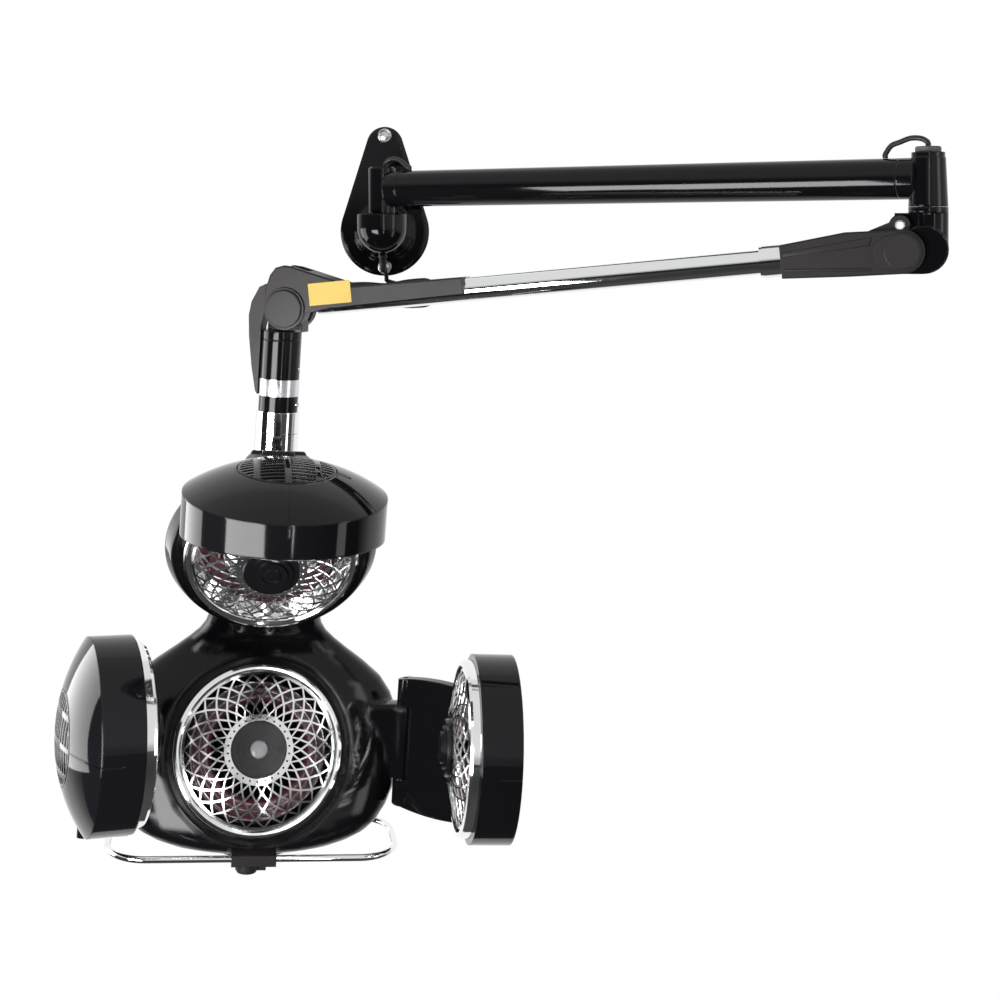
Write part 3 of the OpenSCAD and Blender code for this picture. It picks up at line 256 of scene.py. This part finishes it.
sleeve = turned([(0.0031, 0.0), (0.0062, 0.0), (0.0064, 0.004), (0.0052, 0.006), (0.0050, 0.014),
    (0.0040, 0.024), (0.0031, 0.026)], 32)
lead_sleeve = piece(sleeve, "lead_sleeve", "wall", cable_black,
    along(lead_line[0], lead_out))

strap_size = (0.010, 0.0286, 0.0352, 1.0)
strap = bmesh.new()
bmesh.ops.create_cube(strap, size=1.0, matrix=Matrix.Diagonal(strap_size))
corners = [e for e in strap.edges if abs((e.verts[0].co - e.verts[1].co).x) > 0.005]
bmesh.ops.bevel(strap, geom=corners, offset=0.008, segments=6, profile=0.5, affect="EDGES", material=-1)
bmesh.ops.delete(strap, geom=[f for f in strap.faces if abs(f.normal.x) > 0.9], context="FACES")
bmesh.ops.solidify(strap, geom=strap.faces[:], thickness=0.0012)
hank_strap = piece(strap, "hank_strap", "wall", cable_black,
    Matrix.Translation((0.004, -0.0245, -0.135)))

# ---- Wall plate ----
# A cast plate with a round lower end, in black gloss lacquer, and a turned bearing bowl on its
# boss. Two countersunk screws hold it to the wall, each in a pressed cup washer.


def lacquer(name, clean, dull, soft_edge, shine):
    """Black gloss lacquer, by how far it flows round edges and how strongly it shines."""
    return finish(name, (0.004, 0.004, 0.005), clean, dull, patch=5.0, fineness=350.0, relief=0.03,
        soft_edge=soft_edge, Specular_IOR_Level=shine)


black_gloss = lacquer("gloss_black_lacquer", 0.04, 0.09, 0.003, 0.24)
plate_lacquer = lacquer("plate_lacquer", 0.05, 0.10, 0.007, 0.3)
bright_steel = finish("zinc_plated_steel", (0.56, 0.57, 0.58), 0.22, 0.38, metallic=1.0, patch=60.0,
    relief=0.12)
dress(plate_lacquer, "wall_plate")
dress(black_gloss, "bearing_bowl", "wall_barrel", "arm_tube", "outer_barrel", "elbow_head",
    "hanger_tube")
dress(bright_steel, "wall_spindle", "shoulder_pins", "elbow_pin", "balance_spring",
    "left_link_pins", "right_link_pins", "top_link_pins")

plate_front, bolt_height = -0.008, 0.094
for end, height in (("upper", bolt_height), ("lower", -bolt_height)):
    hole = along((0, plate_front, height), (0, -1, 0))
    cup = turned([(0.0044, 0.0), (0.0098, 0.0), (0.0103, 0.0008), (0.0098, 0.0026), (0.0086, 0.0036),
        (0.0068, 0.0026), (0.0052, 0.0012), (0.0044, 0.0012), (0.0044, 0.0)], 48)
    piece(cup, end + "_cup_washer", "wall", bright_steel, hole)
    screw = turned([(0.0, -0.008), (0.0040, -0.008), (0.0040, 0.0), (0.0062, 0.0022), (0.0060, 0.0030),
        (0.0035, 0.0042), (0.0, 0.0046)], 48)
    piece(screw, end + "_wall_screw", "wall", bright_steel, hole)

# ---- Upper arm ----
# A 50 mm steel tube between two barrels, all in gloss lacquer. A grey plastic cap closes the
# outer barrel. Two short loops of cable carry the supply over the joints and into the tube.


def turn(axis, degrees):
    """A turn about an axis through the origin."""
    return Matrix.Rotation(math.radians(degrees), 4, axis)


def shift(x, y, z):
    """A move, given in millimetres."""
    return Matrix.Translation((x / 1000, y / 1000, z / 1000))


arm_angle, arm_length = 26.3, 755
arm = shift(0, -60, 0) @ turn("Z", -arm_angle)
cap_grey = finish("cap_grey_plastic", (0.07, 0.07, 0.073), 0.45, 0.6, patch=30.0, relief=0.3)
dress(cap_grey, "barrel_cap")

loop_r = 0.0033
wall_loop = [(6, 0, 46.7), (6, 0, 48.4), (6, 0, 51.4), (11, 0, 55.9), (19, 0, 57.4), (28, 0, 55.4),
    (36, 0, 49.4), (42, 0, 44.4), (44, 0, 45.4), (44, 0, 42.9), (44, 0, 40.7)]
outer_loop = [(704, 0, 40.7), (704, 0, 42.4), (704, 0, 45.4), (711, 0, 55.4), (721, 0, 59.4),
    (734, 0, 63.9), (746, 0, 63.4), (753, 0, 59.9), (755, 0, 56.8), (755, 0, 55.2), (755, 0, 53.7)]
for name, points in (("wall_cable_loop", wall_loop), ("outer_cable_loop", outer_loop)):
    line = [tuple(arm @ Vector(c / 1000 for c in p)) for p in eased(points, 5)]
    loop = cable(name, line, loop_r, "arm")
    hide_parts("arm_cables")

# ---- Shoulder and forearm ----
# A cranked casting turns under the outer barrel. On it pivots the forearm: satin black moulded
# covers at both ends, a chromed steel tube between them, and a chrome collar at the joint.
satin_black = finish("satin_black_moulding", (0.016, 0.0138, 0.0138), 0.36, 0.48, patch=14.0,
    fineness=1400.0, relief=0.2, soft_edge=0.0015, Specular_IOR_Level=0.3)
chrome = finish("chrome_plate", (0.86, 0.87, 0.88), 0.03, 0.08, metallic=1.0, patch=12.0,
    fineness=200.0, relief=0.02)
dress(satin_black, "shoulder_cover", "rod_clevis", "pivot_caps", "elbow_cover", "cable_cover",
    "control_panel", "ring_clamp")
dress(black_gloss, "shoulder_housing")
dress(chrome, "forearm_collar", "forearm_tube", "tension_rod", "upper_collar", "lower_collar",
    "hood_stem", "guard_ring")

forearm_angle, forearm_length, forearm_drop = 15.04, 790.6, 5.45
outer = arm @ shift(arm_length, 0, 0) @ turn("Z", 180 + arm_angle - forearm_angle)
forearm = outer @ shift(30, 0, -72.3) @ turn("Y", forearm_drop)
rib_rise, rib_round = 1.4, 0.9


def rib(corners):
    """A moulded rib: a closed strip outline on the cover's side face, raised and rounded."""
    bm = bmesh.new()
    face = bm.faces.new([bm.verts.new((x / 1000, 0, z / 1000)) for x, z in corners])
    up = bmesh.ops.extrude_face_region(bm, geom=[face])
    top = [v for v in up["geom"] if isinstance(v, bmesh.types.BMVert)]
    bmesh.ops.translate(bm, vec=(0, rib_rise / 1000, 0), verts=top)
    rim = [e for e in bm.edges if all(v in top for v in e.verts)]
    bmesh.ops.bevel(bm, geom=rim, offset=rib_round / 1000, segments=3, profile=0.5, affect="EDGES",
        material=-1)
    return bm


for side, word in ((1, "front"), (-1, "back")):
    place = forearm @ Matrix.Diagonal((1, side, 1, 1)) @ shift(0, 23.9, 0)
    upper_rib = rib([(139, 12.0), (139, 6.5), (37, 10.5), (33, 21.0)])
    piece(upper_rib, "shoulder_rib_upper_" + word, "forearm", satin_black, place)
    lower_rib = rib([(139, -8.0), (139, -11.0), (38, -19.5), (38, -16.0)])
    piece(lower_rib, "shoulder_rib_lower_" + word, "forearm", satin_black, place)

# ---- Elbow ----
# The elbow cover is a moulded half shell over the tube's end, with a flat round cap on its pin.
# A blank yellow label sits on the flat of its front face.
label_paper = finish("yellow_label", (0.50, 0.34, 0.045), 0.42, 0.55, patch=80.0, fineness=2500.0,
    relief=0.15)
label_place, label_size = shift(725.6, 21.1, 15.2), (0.0585, 0.0004, 0.029, 1.0)
label = bmesh.new()
bmesh.ops.create_cube(label, size=1.0, matrix=label_place @ Matrix.Diagonal(label_size))
corners = [e for e in label.edges if abs((e.verts[0].co - e.verts[1].co).y) > 0.0002]
bmesh.ops.bevel(label, geom=corners, offset=0.0012, segments=4, profile=0.5, affect="EDGES", material=-1)
piece(label, "blank_label", "forearm", label_paper, forearm)

# ---- Hanger ----
# A 52 mm lacquered tube hangs from the elbow, with a blank silver foil band round it and two
# small screws in its outer side. Chrome collars cover the swivel below.
hanger_tip = 3.5
hanger = (forearm @ shift(forearm_length, 0, 0) @ turn("Y", -forearm_drop) @ turn("Y", -hanger_tip)
    @ shift(10, 0, 0) @ turn("Z", 180))
silver_foil = finish("silver_foil", (0.72, 0.73, 0.76), 0.18, 0.32, metallic=0.85, patch=60.0,
    relief=0.08)
band = turned([(0.02602, -0.1164), (0.02622, -0.1163), (0.02622, -0.0942), (0.02602, -0.0941)], 96)
piece(band, "blank_band", "hanger", silver_foil, hanger)
for name, height, size in (("hanger_screw", -127.2, 1.0), ("hanger_stop", -79.5, 0.55)):
    screw_head = turned([(0.0036 * size, -0.001), (0.0036 * size, 0.0008 * size),
        (0.0028 * size, 0.0026 * size), (0.0, 0.0033 * size)], 32)
    piece(screw_head, name, "hanger", bright_steel,
        hanger @ shift(25.9, 0, height) @ turn("Y", 90))

# ---- Hood body ----
# A blow-moulded shell in black gloss carries two heads. Each has a spun bezel with a mirror
# dish in one piece, a ruby quartz ring lamp, a domed grille of bright wire, and a black hub with
# a small window. A fairing leads from each bezel to the shell.
hood = hanger @ turn("Z", 25)
dish_mirror = finish("mirror_aluminium", (0.86, 0.86, 0.87), 0.05, 0.12, metallic=1.0, patch=25.0,
    fineness=300.0, relief=0.05)
bright_wire = finish("bright_wire", (0.84, 0.84, 0.85), 0.1, 0.2, metallic=1.0, patch=40.0,
    relief=0.06)
ruby = finish("ruby_quartz", (0.075, 0.022, 0.030), 0.06, 0.14, patch=30.0, relief=0.02,
    Coat_Weight=0.6, Coat_Roughness=0.03)
hub_black = finish("hub_black", (0.006, 0.006, 0.007), 0.16, 0.26, patch=30.0, relief=0.1,
    Specular_IOR_Level=0.25)
body_lacquer = lacquer("body_lacquer", 0.04, 0.09, 0.012, 0.24)
for head in ("body", "left", "right", "top"):
    many = "s" if head == "body" else ""
    dress(body_lacquer if head == "body" else black_gloss, head + "_shell")
    dress(dish_mirror, head + "_reflector" + many)
    dress(ruby, head + "_lamp" + many)
    dress(bright_wire, head + "_grille" + many)
    dress(hub_black, head + "_hub" + many)
dress(black_gloss, "left_link", "right_link", "top_link")

lower_head = hood @ shift(0, 16, -597) @ turn("X", -110)
upper_head = hood @ shift(0, -66, -317) @ turn("X", -61)
frosted = finish("frosted_lens", (0.32, 0.32, 0.34), 0.3, 0.42, patch=60.0, relief=0.1, Coat_Weight=0.5)
grille_top = -0.030
for word, place, plating, look, glass in (
        ("lower", lower_head, chrome, "chrome", frosted),
        ("upper", upper_head, black_gloss, "gloss_black", hub_black)):
    fairing = turned([(0.1228, 0.0006), (0.1248, -0.0002), (0.1262, 0.0006), (0.1300, 0.0060),
        (0.1362, 0.0170), (0.1228, 0.0200)], 128)
    piece(fairing, word + "_ring_fairing", "hood", plating, place)
    window = turned([(radius, grille_top - height) for radius, height in (
        (0.0, 0.0115), (0.006, 0.0112), (0.0105, 0.0098), (0.0118, 0.0080), (0.0, 0.0080))], 48)
    piece(window, word + "_hub_window", "hood", glass, place)

# ---- Wing heads ----
# Three more heads swing on moulded links. Behind each vent lies a woven steel gauze.
# A head's place goes from the hinge on the body along the link to the link's own hinge, and
# from there to the middle of the head's rim.
link_length, head_reach = 115, 127
left_head = (hood @ shift(-196, 30, 0) @ turn("Z", -9.2) @ shift(0, -link_length, 0)
    @ turn("Z", 21.9) @ shift(25, -head_reach, -504) @ turn("Y", -90))
right_head = (hood @ shift(196, 30, 0) @ turn("Z", 51) @ shift(0, -link_length, 0)
    @ turn("Z", -53) @ shift(-25, -head_reach, -532) @ turn("Y", 90)
    @ Matrix.Diagonal((-1, 1, 1, 1)))
top_head = (hood @ shift(0, -91, -187) @ turn("X", 7) @ shift(0, -link_length, 0)
    @ turn("X", -5) @ shift(0, -head_reach, -31))


def gauze_finish(name, place, bright, hole_shade):
    """Woven gauze, square to the head: silver wires, with painted shade in the square holes between
    them.
    """
    material = finish(name, bright, 0.25, 0.4, metallic=0.8, patch=60.0, relief=0.2)
    tree = material.node_tree
    where, square = tree.nodes.new("ShaderNodeTexCoord"), tree.nodes.new("ShaderNodeMapping")
    square.inputs["Rotation"].default_value = place.inverted().to_euler()
    tree.links.new(where.outputs["Object"], square.inputs["Vector"])
    waves = []
    for direction in ("X", "Y"):
        wave = tree.nodes.new("ShaderNodeTexWave")
        wave.bands_direction = direction
        wave.inputs["Scale"].default_value = 110.0
        tree.links.new(square.outputs["Vector"], wave.inputs["Vector"])
        waves.append(wave)
    lighter, colours = tree.nodes.new("ShaderNodeMath"), tree.nodes.new("ShaderNodeMix")
    lighter.operation = "MAXIMUM"
    colours.data_type = "RGBA"
    # The holes' colour is painted shade: a near black for the dark inside seen through the gauze.
    colours.inputs["A"].default_value = (*hole_shade, 1.0)
    colours.inputs["B"].default_value = (*bright, 1.0)
    tree.links.new(waves[0].outputs["Fac"], lighter.inputs[0])
    tree.links.new(waves[1].outputs["Fac"], lighter.inputs[1])
    tree.links.new(lighter.outputs[0], colours.inputs["Factor"])
    tree.links.new(colours.outputs["Result"], tree.nodes["Principled BSDF"].inputs["Base Color"])
    return material


head_r = 0.115


def crown_z(radius, dome):
    """Height of a head's back above its band at a radius: a spherical crown, or flat."""
    if dome < 0.02:
        return dome
    ball = (head_r ** 2 + dome ** 2) / (2 * dome)
    return dome - ball + math.sqrt(ball ** 2 - radius ** 2)


gauze_radii = [0.0, 0.012, 0.024, 0.036, 0.046, 0.0515]
gauze_depth = 0.0042
for word, place, band_h, dome, tilt in (
        ("left", left_head, 0.050, 0.035, 0),
        ("right", right_head, 0.050, 0.007, 0),
        ("top", top_head, 0.048, 0.035, 5)):
    gauze = turned([(r, band_h + crown_z(r, dome) - gauze_depth) for r in gauze_radii], 64)
    middle = Matrix.Translation((0, 0, band_h / 2))
    seat = place @ middle @ turn("X", tilt) @ middle.inverted()
    # The second colour is painted shade in the gauze's holes; the first is the wire.
    woven = gauze_finish(word + "_gauze_steel", place, (0.5, 0.5, 0.52), (0.02, 0.02, 0.022))
    piece(gauze, word + "_vent_gauze", word + "_head", woven, seat)

# ---- Clamp and controls ----
# The guard ring is held in a moulded clamp by a thumb knob. At the back of the body are a
# panel with a timer dial and a rocker switch.
dress(satin_black, "clamp_knob", "timer_dial")
switch_red = finish("switch_red", (0.42, 0.02, 0.02), 0.2, 0.3, patch=50.0, relief=0.05)
dress(switch_red, "power_switch")

# ---- Floor, backdrop and light ----
# A floor 1.9 m below the wall plate. The camera sees it white, as it sees the room, but its
# paint is dark, so that it doesn't light the hood from below. Four soft lamps draw the lights
# on the lacquer and chrome.
floor_depth = -1.9
floor_bm = bmesh.new()
bmesh.ops.create_grid(floor_bm, x_segments=1, y_segments=1, size=1.0,
    matrix=Matrix.Translation((0, -4.3, floor_depth)) @ Matrix.Diagonal((9.0, 4.5, 1.0, 1.0)))
floor_mesh = bpy.data.meshes.new("studio_floor")
floor_bm.to_mesh(floor_mesh)
floor_bm.free()
floor = bpy.data.objects.new("studio_floor", floor_mesh)
bpy.context.scene.collection.objects.link(floor)
floor_paint = bpy.data.materials.new("studio_floor_paint")
floor_paint.use_nodes = True
tree = floor_paint.node_tree
paint = tree.nodes["Principled BSDF"]
paint.inputs["Base Color"].default_value = (0.05, 0.05, 0.05, 1)
paint.inputs["Roughness"].default_value = 0.9
glow, ray = tree.nodes.new("ShaderNodeEmission"), tree.nodes.new("ShaderNodeLightPath")
pick = tree.nodes.new("ShaderNodeMixShader")
tree.links.new(ray.outputs["Is Camera Ray"], pick.inputs["Fac"])
tree.links.new(paint.outputs["BSDF"], pick.inputs[1])
tree.links.new(glow.outputs["Emission"], pick.inputs[2])
tree.links.new(pick.outputs["Shader"], tree.nodes["Material Output"].inputs["Surface"])
floor_mesh.materials.append(floor_paint)

# The room lights the object evenly, and the camera sees it plain white. What gloss reflects of
# it is dark low down, grey at eye level, pale above, and white towards the wall.
world = bpy.data.worlds.new("studio")
bpy.context.scene.world = world
world.use_nodes = True
tree = world.node_tree
tree.nodes.clear()
leave = tree.nodes.new("ShaderNodeOutputWorld")
room, paper = tree.nodes.new("ShaderNodeBackground"), tree.nodes.new("ShaderNodeBackground")
room.inputs["Color"].default_value = (1, 1, 1, 1)
room.inputs["Strength"].default_value = 0.4
paper.inputs["Strength"].default_value = 1.0
ray = tree.nodes.new("ShaderNodeLightPath")
either, both = tree.nodes.new("ShaderNodeMath"), tree.nodes.new("ShaderNodeMath")
either.operation = both.operation = "MAXIMUM"
tree.links.new(ray.outputs["Is Camera Ray"], either.inputs[0])
tree.links.new(ray.outputs["Is Glossy Ray"], either.inputs[1])
tree.links.new(either.outputs[0], both.inputs[0])
tree.links.new(ray.outputs["Is Transmission Ray"], both.inputs[1])
where, split = tree.nodes.new("ShaderNodeTexCoord"), tree.nodes.new("ShaderNodeSeparateXYZ")
tilted, sky = tree.nodes.new("ShaderNodeMath"), tree.nodes.new("ShaderNodeValToRGB")
behind, brighter = tree.nodes.new("ShaderNodeMapRange"), tree.nodes.new("ShaderNodeMath")
brighter.operation = "MAXIMUM"
behind.inputs["From Min"].default_value = 0.15
behind.inputs["From Max"].default_value = 0.5
behind.inputs["To Min"].default_value = 0.02
behind.inputs["To Max"].default_value = 1.0
steps = sky.color_ramp.elements
steps[0].position, steps[0].color = 0.0, (0.02, 0.02, 0.02, 1)
steps[1].position, steps[1].color = 0.22, (0.80, 0.80, 0.80, 1)
for position, level in ((0.01, 0.42), (0.10, 0.42)):
    steps.new(position).color = (level, level, level, 1)
tree.links.new(where.outputs["Generated"], split.inputs["Vector"])
tilted.operation = "MULTIPLY_ADD"
tilted.inputs[1].default_value = 0.3
tree.links.new(split.outputs["X"], tilted.inputs[0])
tree.links.new(split.outputs["Z"], tilted.inputs[2])
tree.links.new(tilted.outputs[0], sky.inputs["Fac"])
tree.links.new(split.outputs["Y"], behind.inputs["Value"])
tree.links.new(sky.outputs["Color"], brighter.inputs[0])
tree.links.new(behind.outputs["Result"], brighter.inputs[1])
white = tree.nodes.new("ShaderNodeMix")
white.data_type = "RGBA"
white.inputs["B"].default_value = (1, 1, 1, 1)
tree.links.new(ray.outputs["Is Camera Ray"], white.inputs["Factor"])
tree.links.new(brighter.outputs[0], white.inputs["A"])
tree.links.new(white.outputs["Result"], paper.inputs["Color"])
pick = tree.nodes.new("ShaderNodeMixShader")
tree.links.new(both.outputs[0], pick.inputs["Fac"])
tree.links.new(room.outputs["Background"], pick.inputs[1])
tree.links.new(paper.outputs["Background"], pick.inputs[2])
tree.links.new(pick.outputs["Shader"], leave.inputs["Surface"])


def softbox(name, where, aim, width, height, power):
    """A soft lamp with a plain white front, from a place towards an aim, its size in metres."""
    data = bpy.data.lights.new(name, "AREA")
    data.shape = "RECTANGLE"
    data.size, data.size_y = width, height
    data.energy = power
    lamp = bpy.data.objects.new(name, data)
    lamp.location = where
    lamp.rotation_euler = (Vector(aim) - Vector(where)).to_track_quat("-Z", "Y").to_euler()
    lamp.visible_camera = False
    bpy.context.scene.collection.objects.link(lamp)


softbox("arm_softbox", (-0.68, -1.345, -0.62), (0.42, -0.27, 0.0), 0.78, 0.8, 34.0)
softbox("left_softbox", (-1.35, 0.0, -0.55), (-0.2, -0.3, -0.5), 0.9, 1.0, 15.0)
softbox("right_softbox", (1.35, -0.9, -0.3), (0.2, -0.2, -0.3), 0.3, 1.6, 4.0)
softbox("thin_strip", (0.42, -2.15, -0.35), (-0.1, -0.3, -0.4), 0.04, 1.8, 4.5)
bpy.context.scene.view_settings.view_transform = "Standard"
